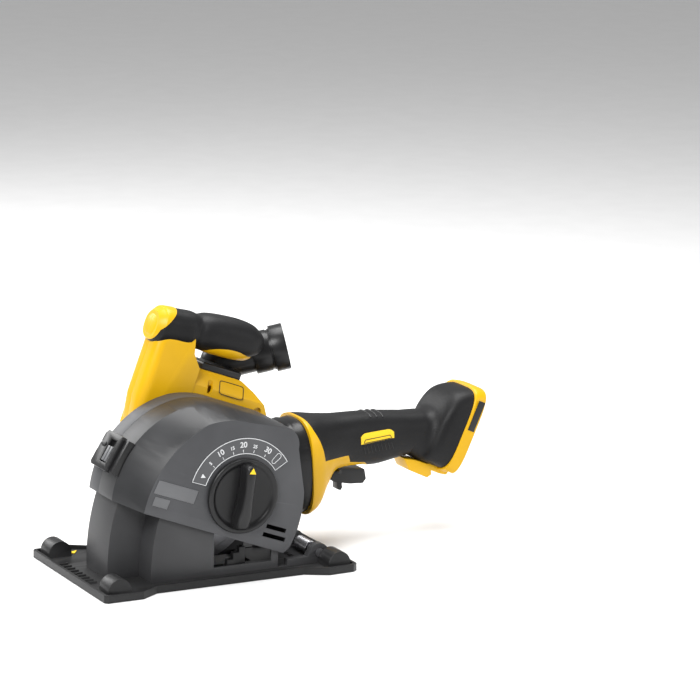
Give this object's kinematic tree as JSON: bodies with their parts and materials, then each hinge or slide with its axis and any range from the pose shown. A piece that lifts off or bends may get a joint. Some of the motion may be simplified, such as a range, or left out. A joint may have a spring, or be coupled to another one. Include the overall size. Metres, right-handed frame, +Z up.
{
  "type": "cordless wall chaser",
  "caption": "Twin-disc wall chaser with a plunging guard on a roller shoe, a depth dial, an over-centre latch, a front handle with dust port, and a motor grip with battery foot.",
  "frame": {"origin": "bottom centre of the bounding box, on the plane of the shoe's sole", "axes": "+X towards the rear, where the battery foot is; +Y towards the motor side, away from the depth dial; +Z up, off the wall being cut"},
  "size_m": [0.4412, 0.172, 0.2351],
  "materials": {
    "guard_grey": "satin, fine grain",
    "shoe_black": "satin",
    "housing_yellow": "satin gloss",
    "grip_black": "matt, textured",
    "black_plastic": "matt",
    "gear_alloy": "cast, satin",
    "steel": "bright",
    "disc_steel": "dull",
    "brass_parts": "dull"
  },
  "bodies": {
    "base": {"shoe_plate": "shoe_black", "roller_axles": "steel", "lower_guard": "shoe_black", "lower_guard_screws": "steel", "pivot_pin": "steel", "depth_stop": "black_plastic", "return_spring": "steel"},
    "roller_1": {"roller_front_near": "black_plastic"},
    "roller_2": {"roller_front_far": "black_plastic"},
    "roller_3": {"roller_rear_near": "black_plastic"},
    "roller_4": {"roller_rear_far": "black_plastic"},
    "upper": {"guard_housing": "guard_grey", "latch_base": "black_plastic", "latch_pin": "steel", "ball_bearings": "steel", "gear_case": "gear_alloy", "gear_case_cap": "gear_alloy", "cap_screws": "steel", "motor_front": "gear_alloy", "motor_baffle": "black_plastic", "stator_core": "steel", "stator_windings": "brass_parts", "bearing_plate": "black_plastic", "motor_shell_near": "housing_yellow", "motor_shell_far": "housing_yellow", "grip_overmold": "grip_black", "battery_foot": "housing_yellow", "terminal_block": "brass_parts", "trigger_pin": "steel", "switch_module": "black_plastic", "controller": "black_plastic", "front_housing_near": "housing_yellow", "front_housing_far": "housing_yellow", "housing_screws": "steel", "front_grip": "grip_black", "dust_port": "black_plastic"},
    "cover": {"guard_cover": "guard_grey", "depth_scale": "guard_grey", "latch_catch": "black_plastic"},
    "dial": {"depth_knob": "black_plastic", "knob_pointer": "housing_yellow", "depth_cam": "black_plastic"},
    "latch": {"latch_lever": "black_plastic"},
    "latch_slide": {"latch_slider": "guard_grey"},
    "spindle_set": {"spindle": "steel", "inner_flange": "steel", "inner_disc": "disc_steel", "outer_disc": "disc_steel", "disc_spacers": "steel", "clamp_nut": "steel", "bevel_wheel": "steel"},
    "rotor_set": {"pinion": "steel", "rotor_shaft": "steel", "rotor": "steel", "cooling_fan": "black_plastic"},
    "trigger": {"trigger_paddle": "black_plastic", "lock_off_pin": "steel"},
    "lock_off": {"lock_off_lever": "black_plastic"},
    "spindle_lock": {"spindle_lock_button": "steel"},
    "outlet": {"dust_outlet": "black_plastic"}
  },
  "joints": [
    {"name": "plunge", "type": "hinge", "parent": "base", "child": "upper", "pos_m": [0.00642, -0.00347, 0.014], "axis": [0, -1, 0], "range_deg": [0, 20], "stiffness_Nm_per_rad": 4, "springref_deg": -68.75},
    {"name": "roller_1_spin", "type": "hinge", "parent": "base", "child": "roller_1", "pos_m": [-0.20358, -0.06946, 0.0077], "axis": [0, 1, 0], "continuous": true},
    {"name": "roller_2_spin", "type": "hinge", "parent": "base", "child": "roller_2", "pos_m": [-0.20358, 0.06253, 0.0077], "axis": [0, 1, 0], "continuous": true},
    {"name": "roller_3_spin", "type": "hinge", "parent": "base", "child": "roller_3", "pos_m": [0.01642, -0.06946, 0.0077], "axis": [0, 1, 0], "continuous": true},
    {"name": "roller_4_spin", "type": "hinge", "parent": "base", "child": "roller_4", "pos_m": [0.01642, 0.06253, 0.0077], "axis": [0, 1, 0], "continuous": true},
    {"name": "cover_release", "type": "slide", "parent": "upper", "child": "cover", "axis": [0, -1, 0], "range_m": [0, 0.09]},
    {"name": "depth_dial", "type": "hinge", "parent": "cover", "child": "dial", "pos_m": [-0.07573, -0.06147, 0.07774], "axis": [0, 1, 0], "range_deg": [-73, 41]},
    {"name": "latch_hinge", "type": "hinge", "parent": "upper", "child": "latch", "pos_m": [-0.18136, 0.01203, 0.11602], "axis": [-0.515, 0, -0.8572], "range_deg": [0, 100]},
    {"name": "latch_slide", "type": "slide", "parent": "latch", "child": "latch_slide", "axis": [0.515, 0, 0.8572], "range_m": [0, 0.005]},
    {"name": "spindle_spin", "type": "hinge", "parent": "upper", "child": "spindle_set", "pos_m": [-0.09985, -0.00347, 0.06704], "axis": [0, 1, 0], "continuous": true},
    {"name": "rotor_spin", "type": "hinge", "parent": "upper", "child": "rotor_set", "pos_m": [-0.09985, 0.03453, 0.06704], "axis": [0.9986, 0, 0.0523], "continuous": true},
    {"name": "trigger_pull", "type": "hinge", "parent": "upper", "child": "trigger", "pos_m": [0.06583, 0.03453, 0.06621], "axis": [0, -1, 0], "range_deg": [0, 6], "stiffness_Nm_per_rad": 1, "springref_deg": -5.73},
    {"name": "lock_off_pull", "type": "hinge", "parent": "trigger", "child": "lock_off", "pos_m": [0.07302, 0.03453, 0.05507], "axis": [0, -1, 0], "range_deg": [0, 10], "stiffness_Nm_per_rad": 0.02, "springref_deg": -11.46},
    {"name": "spindle_lock_press", "type": "slide", "parent": "upper", "child": "spindle_lock", "axis": [0, -1, 0], "range_m": [0, 0.003], "stiffness_N_per_m": 400, "springref_m": -0.002},
    {"name": "outlet_swivel", "type": "hinge", "parent": "upper", "child": "outlet", "pos_m": [0.02108, 0.04453, 0.18585], "axis": [0.8967, -0.3718, 0.2401], "continuous": true}
  ],
  "couplings": [
    {"joint": "rotor_spin", "follows": "spindle_spin", "ratio": -2.5}
  ]
}
